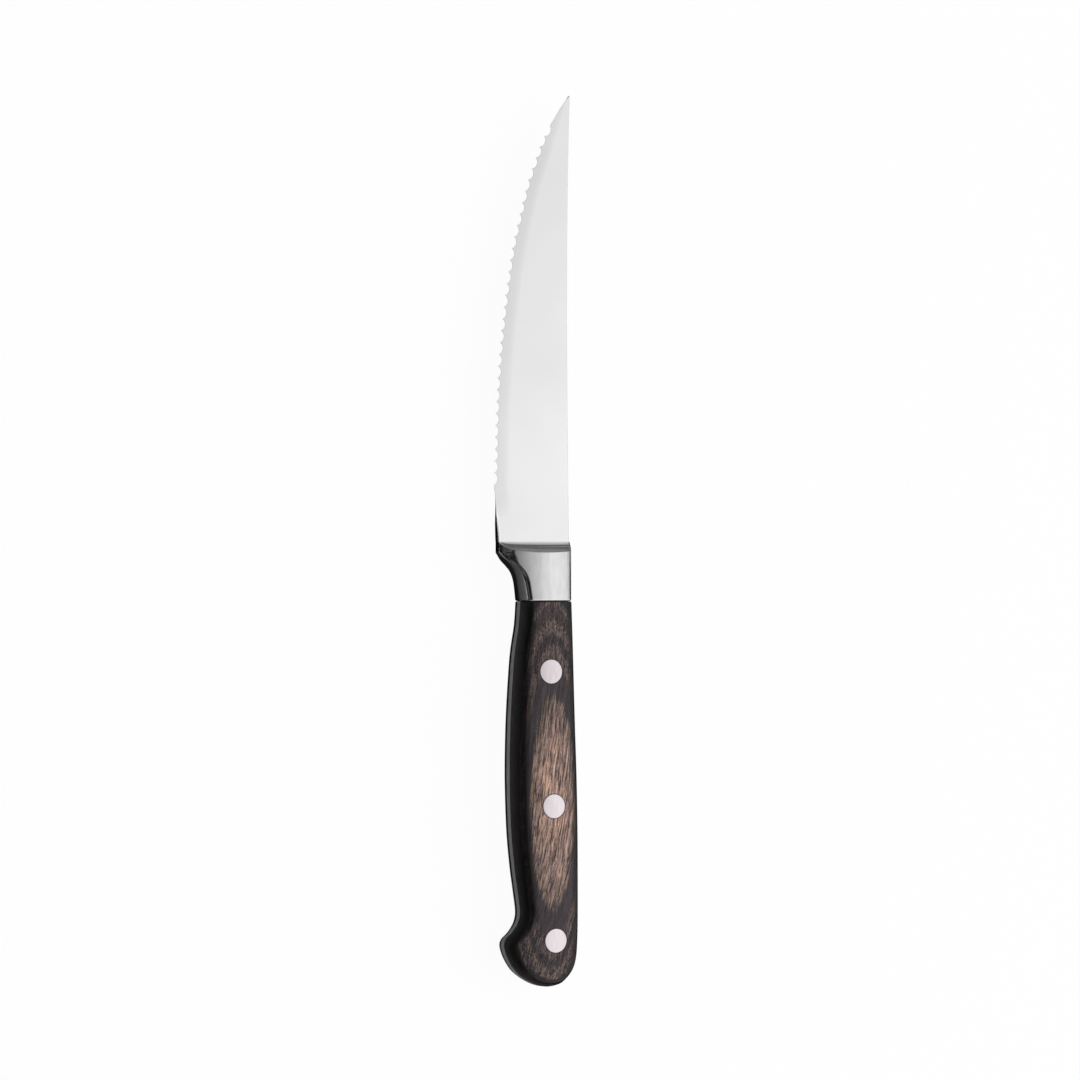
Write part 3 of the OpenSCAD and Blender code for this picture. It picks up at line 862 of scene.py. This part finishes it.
def forgedSteel(material):
    rings, runOf, pitch = forgedRings()
    stations, around = rings.shape[:2]
    half = around // 2 + 1
    lead = counts["back"] + counts["corner"] + counts["side"]
    toEdge = np.ones(half)
    toEdge[lead:] = np.append(np.linspace(1, 0, counts["strip"]), np.zeros(counts["edge"]))
    across = np.zeros(half)
    across[-counts["edge"]:] = np.linspace(0, 0.5, counts["edge"] + 1)[1:]
    toEdge = np.append(toEdge, toEdge[-2:0:-1])
    across = np.append(across, 1 - across[-2:0:-1])
    ys = rings[:, 0, 1]
    edges = edgeAt(ys)
    apart = np.linspace(1e-9, 0, stations)  # keeps two sections at one place apart
    lean = np.gradient(edges, ys + apart)
    inward = np.column_stack([np.ones(stations), -lean, np.zeros(stations)])
    inward /= np.linalg.norm(inward, axis=1)[:, None]
    width = np.minimum(blade["bevelWidth"], (np.array([backAt(y) for y in ys]) - edges) / 2)
    levels = flatHalf(edges + width, ys)
    piece = skin("forgedBlade", rings)
    grid = {
        "run": np.repeat(runOf * mm, around),
        "toEdge": np.tile(toEdge, stations),
        "across": np.tile(across, stations),
        "bevel": np.repeat(width * mm, around),
        "bevelHalf": np.repeat(levels * mm, around),
    }
    for name, values in grid.items():
        store(piece, name, np.append(values, [1.0, 1.0]))  # and for the middles of both ends
    stored = piece.data.attributes.new("inward", "FLOAT_VECTOR", "POINT")
    stored.data.foreach_set("vector", np.append(np.repeat(inward, around, axis=0), np.zeros(6)))
    applyTree(piece, toothTree(material), {
        "Tooth pitch": pitch * mm,
        "Scallop depth": teeth["depth"] * mm,
        "Flute fall": teeth["fluteFall"],
        "Edge thickness": blade["edgeThickness"] * mm,
        "Flat lean": flatLean,
        "Bevel fall": blade["bevelFall"],
        "Bevel soft": blade["bevelSoft"] * mm,
        "Middle height": float(shoulder[2]) * mm,
    })
    for name in (*grid, "inward"):
        piece.data.attributes.remove(piece.data.attributes[name])
    places = np.zeros(3 * len(piece.data.vertices))
    piece.data.vertices.foreach_get("co", places)
    store(piece, "bolsterShare", ease((shoulder[1] - places[1::3] / mm) / bolster["finishFade"]))
    return piece


scaleCounts = {"wall": 6, "corner": 12, "top": 28, "end": 6}
tangColumns = 7
endGap = 0.5                # the rounded end takes the place of the rings within this distance
# How much painted shade the narrow faces get: those of the front and the rear scale, along the handle
# and at the butt, and the first two points of a scale's side next to its back and its belly
paintedShadeShares = {
    "sides": {1: (0.834, 0.6), -1: (1.0, 1.0)},
    "buttRun": 10.0,
    "overBack": (0.6, 0.2),
    "overBelly": (0.3, 0.75),
}


def scaleRings():
    count = len(bellyTable)
    rings = []

    def inwardAt(line, i, side):
        if i == 0:
            return np.array([-side, 0.0])
        if i == count - 1:
            return np.array([0.0, 1.0])
        d = line[i + 1] - line[i - 1]
        return side * np.array([d[1], -d[0]]) / np.hypot(*d)

    for i in range(count):
        halves = []
        for line, side in ((backLine, 1.0), (bellyTable, -1.0)):
            p, m = line[i], inwardAt(line, i, side)
            wall = cornerWall(p, m)
            inset = rimInset(wall, tangHalf) + handle["corner"]
            halves.append(flank(
                p, m, tangHalf, wall, inset, 1, scaleCounts["wall"], scaleCounts["corner"]))
        rings.append(arch(halves[0], halves[1], scaleCounts["top"]))
    return np.array(rings)


def woodScale(name, side, material):
    rings = scaleRings()
    # the end at the bolster is a little rounded and stands off by the joint's gap
    first = rings[0].copy()
    middle = first.mean(axis=0)
    opened = []
    for turn in np.linspace(math.pi / 2, 0, scaleCounts["end"]):
        inset = handle["endRound"] * (1 - math.cos(turn))
        ring = first.copy()
        out = first - middle
        out[:, 1] = 0
        out /= np.linalg.norm(out, axis=1)[:, None]
        ring -= out * inset
        ring[:, 2] = np.maximum(ring[:, 2], tangHalf)
        ring[:, 1] = jointY - handle["jointGap"] - handle["endRound"] * (1 - math.sin(turn))
        opened.append(ring)
    kept = [ring for ring in rings if ring[:, 1].max() < jointY - endGap]
    rings = np.array(opened + kept)
    # the rear scale is the front one's mirror image, so its rings run the other way round
    if side < 0:
        rings = rings[:, ::-1] * [1, 1, -1]
    piece = skin(name, rings, fanned=False)
    # how far a point belongs to the narrow faces and their rounded corners, which is the share of
    # painted shade it gets
    fullyShaded = np.ones(scaleCounts["wall"] + scaleCounts["corner"])
    top = np.zeros(scaleCounts["top"] - 1)
    top[:2], top[-2:] = paintedShadeShares["overBack"], paintedShadeShares["overBelly"]
    across = np.concatenate([fullyShaded, top, fullyShaded])
    if side < 0:
        across = across[::-1]
    butt = ease(1 - (rings[:, 0, 1] - rings[-1, 0, 1]) / paintedShadeShares["buttRun"])
    share = mix(*paintedShadeShares["sides"][side], butt)
    store(piece, "narrow", np.append(np.outer(share, across).ravel(), [1.0, 1.0]))
    weld(piece)
    piece.data.materials.append(material)
    return piece


def tangPlate(material):
    # the full-length tang, flush with the scales all round
    shares = np.linspace(0, 1, tangColumns)[:, None]
    rings = []
    for belly, back in zip(bellyTable, backLine):
        top = np.column_stack([mix(belly, back, shares), np.full(tangColumns, tangHalf)])
        rings.append(np.vstack([top, (top * [1, 1, -1])[::-1]]))
    piece = skin("tang", np.array(rings)[:, ::-1], fanned=False)
    weld(piece)
    piece.data.materials.append(material)
    return piece


# The sheet that is rolled up into a rivet head: where its top, round rim, wall and underside lie
headStages = {"top": (-0.5, 0.0), "rim": (0.0, 0.3), "wall": (0.3, 0.4), "under": (0.4, 0.5)}


def rivetTree(material):
    # turns one rounded head and sets it on every point, sunk into the crowned side
    tree, given = newTree("rivetSetter", "Points", (
        "Head width", "Rim round", "Reach", "Side", "Middle height", "Half thickness",
        "Crown line", "Crown radius", "Swell line", "Long radius"))
    sheet = addNode(tree, "GeometryNodeMeshGrid", {
        "Size X": 1.0, "Size Y": 1.0,
        "Vertices X": rivets["around"] + 1, "Vertices Y": rivets["profile"] + 1})
    place = addNode(tree, "GeometryNodeInputPosition")
    parts = addNode(tree, "ShaderNodeSeparateXYZ", {"Vector": place}).outputs
    known = {**given, "u": parts["X"]}
    for name, (start, end) in headStages.items():
        known[name] = addNode(tree, "ShaderNodeMapRange", {"Value": parts["Y"], 1: start, 2: end})
    for name, operation, *terms in (
        ("angle", "MULTIPLY", "u", tau),
        ("outer", "MULTIPLY", "Head width", 0.5),
        ("inner", "SUBTRACT", "outer", "Rim round"),
        ("turn", "MULTIPLY", "rim", tau / 4),
        ("bulge", "SINE", "turn"),
        ("bulge", "MULTIPLY", "bulge", "Rim round"),
        ("radius", "MULTIPLY_ADD", "top", "inner", "bulge"),
        ("closing", "SUBTRACT", 1.0, "under"),
        ("radius", "MULTIPLY", "radius", "closing"),
        ("drop", "COSINE", "turn"),
        ("drop", "SUBTRACT", "drop", 1.0),
        ("drop", "MULTIPLY", "drop", "Rim round"),
        ("fall", "SUBTRACT", "Rim round", "Reach"),
        ("drop", "MULTIPLY_ADD", "fall", "wall", "drop"),
        ("x", "COSINE", "angle"),
        ("x", "MULTIPLY", "x", "radius"),
        ("y", "SINE", "angle"),
        ("y", "MULTIPLY", "y", "radius"),
    ):
        inputs = {i: known.get(term, term) for i, term in enumerate(terms)}
        known[name] = addNode(tree, "ShaderNodeMath", inputs, operation=operation)
    rolled = addNode(tree, "ShaderNodeCombineXYZ", {
        "X": known["x"], "Y": known["y"], "Z": known["drop"]})
    head = addNode(tree, "GeometryNodeSetPosition", {"Geometry": sheet, "Position": rolled})
    head = addNode(tree, "GeometryNodeMergeByDistance", {
        "Geometry": head, "Distance": weldGap * mm})
    many = addNode(tree, "GeometryNodeInstanceOnPoints", {
        "Points": given["Points"], "Instance": head})
    real = addNode(tree, "GeometryNodeRealizeInstances", {"Geometry": many})
    # the crowned side of the handle under every point of the head
    place = addNode(tree, "GeometryNodeInputPosition")
    here = addNode(tree, "ShaderNodeSeparateXYZ", {"Vector": place}).outputs
    side = given["Half thickness"]
    crowns = (("X", "Crown line", "Crown radius"), ("Y", "Swell line", "Long radius"))
    for axis, line, bend in crowns:
        off = addNode(tree, "ShaderNodeMath", {0: here[axis], 1: given[line]}, operation="SUBTRACT")
        off = addNode(tree, "ShaderNodeMath", {0: off, 1: off}, operation="MULTIPLY")
        off = addNode(tree, "ShaderNodeMath", {0: off, 1: given[bend]}, operation="DIVIDE")
        side = addNode(tree, "ShaderNodeMath", {0: off, 1: -0.5, 2: side}, operation="MULTIPLY_ADD")
    side = addNode(tree, "ShaderNodeMath", {0: side, 1: here["Z"]}, operation="ADD")
    height = addNode(tree, "ShaderNodeMath", {
        0: side, 1: given["Side"], 2: given["Middle height"]}, operation="MULTIPLY_ADD")
    seated = addNode(tree, "ShaderNodeCombineXYZ", {
        "X": here["X"], "Y": here["Y"], "Z": height})
    seated = addNode(tree, "GeometryNodeSetPosition", {"Geometry": real, "Position": seated})
    frontSide = addNode(tree, "FunctionNodeCompare", {
        0: given["Side"], 1: 0.0}, data_type="FLOAT", operation="GREATER_THAN")
    turned = addNode(tree, "GeometryNodeFlipFaces", {"Mesh": seated, "Selection": frontSide})
    smooth = addNode(tree, "GeometryNodeSetShadeSmooth", {"Geometry": turned})
    dressed = addNode(tree, "GeometryNodeSetMaterial", {"Geometry": smooth, "Material": material})
    addNode(tree, "NodeGroupOutput", {0: dressed})
    return tree


def rivetHeads(name, side, tree):
    points = bpy.data.meshes.new(name)
    points.from_pydata(
        [((x + shoulder[0]) * mm, (y + shoulder[1]) * mm, 0) for x, y in rivetPlaces()], [], [])
    run = handle["length"] * (1 - handle["swellShare"])
    return applyTree(addObject(name, points), tree, {
        "Head width": rivets["headWidth"] * mm,
        "Rim round": rivets["rimRound"] * mm,
        "Reach": rivets["reach"] * mm,
        "Side": float(side),
        "Middle height": float(shoulder[2]) * mm,
        "Half thickness": (handle["thickness"] / 2 + rivets["proud"]) * mm,
        "Crown line": float(crownX + shoulder[0]) * mm,
        "Crown radius": handle["crownRadius"] * mm,
        "Swell line": float(swellY + shoulder[1]) * mm,
        "Long radius": run * run / (handle["thickness"] - handle["buttThickness"]) * mm,
    })


steel = satinSteel()
tangFinish = groundMetal(groundTang)
rivetFinish = groundMetal(nickel)
woodFinish = laminatedWood()
print("materials made")

forged = forgedSteel(steel)
print("forged blade made")
tang = tangPlate(tangFinish)
frontScale = woodScale("frontScale", 1, woodFinish)
rearScale = woodScale("rearScale", -1, woodFinish)
print("scales and tang made")

setter = rivetTree(rivetFinish)
frontRivets = rivetHeads("frontRivets", 1, setter)
rearRivets = rivetHeads("rearRivets", -1, setter)
print("rivets set")

for piece, nodes, slot in (
    (forged, ["forged_blade"], "blade_steel"),
    (tang, ["forged_blade"], "blade_steel"),
    (frontScale, ["front_scale"], "laminated_wood"),
    (rearScale, ["rear_scale"], "laminated_wood"),
    (frontRivets, [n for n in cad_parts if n.endswith("_sleeve")], "rivet_metal"),
    (rearRivets, [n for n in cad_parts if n.endswith("_pin")], "rivet_metal"),
):
    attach(piece, "root")
    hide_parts(*nodes)

# The stage: white paper and two softboxes; the steel's reflections see a diffuser and dark cards
# in their place
photo = {
    "size": 1080,
    "pixel": 0.26404,       # millimetres to a pixel
    "shoulderAcross": 567.36,
    "shoulderDown": 541.0,
    "tilt": 24.0,           # the camera leans towards the edge of the blade
    "distance": 2600.0,
    "clip": (50.0, 20000.0),
}


def stand(name, data, right, up, back, place):
    # stands the camera or a lamp in the room, turned to its own three directions
    piece = addObject(name, data)
    piece.matrix_world = Matrix([*zip(right, up, back, place), (0, 0, 0, 1)])
    return piece


def makeCamera():
    lean = math.radians(photo["tilt"])
    right = np.array([math.cos(lean), 0, math.sin(lean)])
    up = np.array([0.0, 1.0, 0.0])
    back = np.array([-math.sin(lean), 0, math.cos(lean)])
    across = (photo["size"] / 2 - photo["shoulderAcross"]) * photo["pixel"]
    rise = (photo["shoulderDown"] - photo["size"] / 2) * photo["pixel"]
    aim = shoulder + right * across + up * rise
    data = bpy.data.cameras.new("camera")
    data.lens = data.sensor_width * photo["distance"] / (photo["size"] * photo["pixel"])
    data.clip_start, data.clip_end = photo["clip"][0] * mm, photo["clip"][1] * mm
    place = (aim + back * photo["distance"]) * mm
    bpy.context.scene.camera = stand("camera", data, right, up, back, place)


def stageMesh(name, corners, faces, material):
    mesh = bpy.data.meshes.new(name)
    mesh.from_pydata(corners, [], faces)
    mesh.materials.append(material)
    piece = addObject(name, mesh)
    return piece


def whiteSweep():
    # the floor, turned up into a wall all round
    material, tree = newMaterial("white paper sweep")
    rays = addNode(tree, "ShaderNodeLightPath").outputs
    seen = rays["Is Camera Ray"]
    for kind in ("Is Glossy Ray", "Is Transmission Ray"):
        seen = addNode(tree, "ShaderNodeMath", {0: seen, 1: rays[kind]}, operation="MAXIMUM")
    share = addNode(tree, "ShaderNodeMath", {
        0: seen, 1: sweep["glowShare"]}, operation="MULTIPLY")
    paper = addNode(tree, "ShaderNodeBsdfDiffuse", {"Color": toLinear(sweep["paper"])})
    glow = addNode(tree, "ShaderNodeEmission", {"Color": (1, 1, 1, 1), "Strength": 1.0})
    shader = addNode(tree, "ShaderNodeMixShader", {0: share, 1: paper, 2: glow})
    closeMaterial(tree, shader)
    corners, faces = [(0, 0, 0)], []
    count = sweep["sides"]
    for reach, height in sweep["profile"]:
        for k in range(count):
            turn = tau * k / count
            corners.append((reach * math.cos(turn), reach * math.sin(turn), height))
    for k in range(count):
        faces.append((0, 1 + k, 1 + (k + 1) % count))
    for ring in range(len(sweep["profile"]) - 1):
        for k in range(count):
            a, b = 1 + ring * count + k, 1 + ring * count + (k + 1) % count
            faces.append((a, a + count, b + count, b))
    stageMesh("floor", corners, faces, material)


def reflectedCard(name, low, high, first, brightest, shades):
    # a card that only reflections see, with two of its corners given and the axis that leads from
    # the one to the next; the shades along its axes are multiplied
    material, tree = newMaterial(name)
    glow = brightest
    for axis, stops in shades.items():
        place = addNode(tree, "ShaderNodeTexCoord").outputs["Object"]
        split = addNode(tree, "ShaderNodeSeparateXYZ", {"Vector": place})
        shade = rampOver(tree, split.outputs[axis], [
            (level, (share, share, share, 1.0)) for level, share in stops])
        glow = addNode(tree, "ShaderNodeMath", {0: shade, 1: glow}, operation="MULTIPLY")
    closeMaterial(tree, addNode(tree, "ShaderNodeEmission", {
        "Color": (1, 1, 1, 1), "Strength": glow}))
    second, fourth = list(low), list(high)
    second[first], fourth[first] = high[first], low[first]
    card = stageMesh(name, [low, second, high, fourth], [(0, 1, 2, 3)], material)
    card.visible_camera = False
    card.visible_diffuse = False
    card.visible_shadow = False
    card.visible_transmission = False


def softbox(name, lamp):
    data = bpy.data.lights.new(name, "AREA")
    data.shape = "RECTANGLE"
    data.size, data.size_y = lamp["width"], lamp["length"]
    data.energy = lamp["radiance"] * math.pi * lamp["width"] * lamp["length"]
    back = np.array(lamp["place"]) - np.array(lamp["target"])
    back /= np.linalg.norm(back)
    side = np.cross([0.0, 1.0, 0.0], back)
    side /= np.linalg.norm(side)
    piece = stand(name, data, side, np.cross(back, side), back, lamp["place"])
    piece.visible_glossy = False
    piece.visible_camera = False


# Stage sizes are in metres
sweep = {
    "paper": "#F8F8F8",
    "glowShare": 0.96,
    "sides": 48,
    "profile": [(3.2, 0.0), (3.6, 0.12), (3.9, 0.4), (4.0, 0.8), (4.0, 3.0)],
}
lamps = {
    "key": {"place": (1.4, -0.2, 0.95), "target": (0, -0.1, 0), "width": 1.3,
            "length": 2.0, "radiance": 3.0},
    "fill": {"place": (0.3, 0, 1.7), "target": (0, 0, 0), "width": 2.4,
             "length": 2.4, "radiance": 0.8},
}
# the diffuser is brightest away from the edge of the knife, and dimmer past its point
diffuser = {
    "height": 1.2,
    "brightest": 1.3,
    "across": [(-0.085, 0.25), (0.05, 0.33), (0.2, 0.47), (0.35, 0.66), (0.46, 0.8),
               (0.6, 0.93), (0.8, 1.0), (1.0, 0.86), (1.4, 0.6)],
    "along": [(-1.4, 1.0), (0.0, 1.0), (0.35, 0.72), (0.8, 0.53), (1.7, 0.32)],
}
# cards that only the steel's reflections see: two corners, the first axis and the shade
cards = {
    "card past the point": ((0.25, 1.7, 0.0), (1.4, 1.7, 1.2), 0, 0.135),
    "card beside the back": ((1.3, -0.035, 0.0), (1.3, 0.09, 0.6), 1, 0.02),
    "card behind the blade": ((0.012, -0.004, 0.0003), (0.06, 0.8, 0.0003), 0, 0.12),
    "card behind the bolster": ((0.012, -0.8, 0.0003), (0.6, -0.004, 0.0003), 0, 0.01),
}
# the leaning card before the edge, from the floor up: the marks (x, z) between its tiers, and
# each tier's shade along the knife
leaning = {
    "ends": (-1.5, 1.7),
    "marks": [(-0.6, 0.0), (-0.515, 0.198), (-0.45, 0.351), (-0.259, 0.797), (-0.086, 1.2)],
    "shades": [
        [(-1.5, 0.004), (1.7, 0.004)],
        [(-1.5, 0.14), (-0.3, 0.14), (-0.27, 0.004), (-0.145, 0.004), (-0.13, 0.14), (-0.03, 0.14),
         (-0.02, 0.045), (0.045, 0.045), (0.09, 0.14), (1.7, 0.14)],
        [(-0.36, 0.004), (-0.33, 0.14), (-0.18, 0.14), (-0.15, 0.004), (0.03, 0.004), (0.11, 0.14),
         (1.7, 0.14)],
        [(-1.5, 0.004), (1.7, 0.004)],
    ],
}
# strips of card on the floor under the knife and before its edge, one after another from the point to
# the butt, with the shades across each; they are dark cards, and their shades, darkest close under
# the knife, also put a painted shadow of the knife on the floor into the reflections
strips = {
    "far": [-0.6, -0.12, -0.12, -0.6],
    "near": 0.012,
    "height": 0.0003,
    "ends": [0.8, -0.004, -0.012, -0.09, -0.8],
    "shades": [
        [(-0.6, 0.004), (0.012, 0.004)],
        [(-0.12, 0.03), (-0.01, 0.01)],
        [(-0.12, 0.22), (-0.04, 0.16), (-0.02, 0.11), (-0.012, 0.075), (-0.0095, 0.065),
         (-0.0085, 0.006), (0.012, 0.004)],
        [(-0.6, 0.03), (-0.12, 0.05), (-0.012, 0.05)],
    ],
}

makeCamera()
whiteSweep()
for name, lamp in lamps.items():
    softbox(name, lamp)
for name, card in cards.items():
    reflectedCard(name, *card, {})
for k, stops in enumerate(leaning["shades"]):
    bottom, top = leaning["marks"][k:k + 2]
    start, end = leaning["ends"]
    reflectedCard(f"leaning card {k + 1}", (bottom[0], start, bottom[1]), (top[0], end, top[1]),
                  1, 1.0, {"Y": stops})
for k, stops in enumerate(strips["shades"]):
    start, end = strips["ends"][k:k + 2]
    reflectedCard(f"floor strip {k + 1}", (strips["far"][k], start, strips["height"]),
                  (strips["near"], end, strips["height"]), 0, 1.0, {"X": stops})
low, high = [(diffuser["across"][k][0], diffuser["along"][k][0], diffuser["height"])
             for k in (0, -1)]
reflectedCard("diffuser over the knife", low, high, 0, diffuser["brightest"],
              {"X": diffuser["across"], "Y": diffuser["along"]})

roomLight = 0.15
world = bpy.data.worlds.new("studio")
bpy.context.scene.world = world
world.use_nodes = True
world.node_tree.nodes.clear()
room = addNode(world.node_tree, "ShaderNodeBackground", {
    "Color": (1, 1, 1, 1), "Strength": roomLight})
addNode(world.node_tree, "ShaderNodeOutputWorld", {"Surface": room})
bpy.context.scene.view_settings.view_transform = "Standard"
print("stage set")
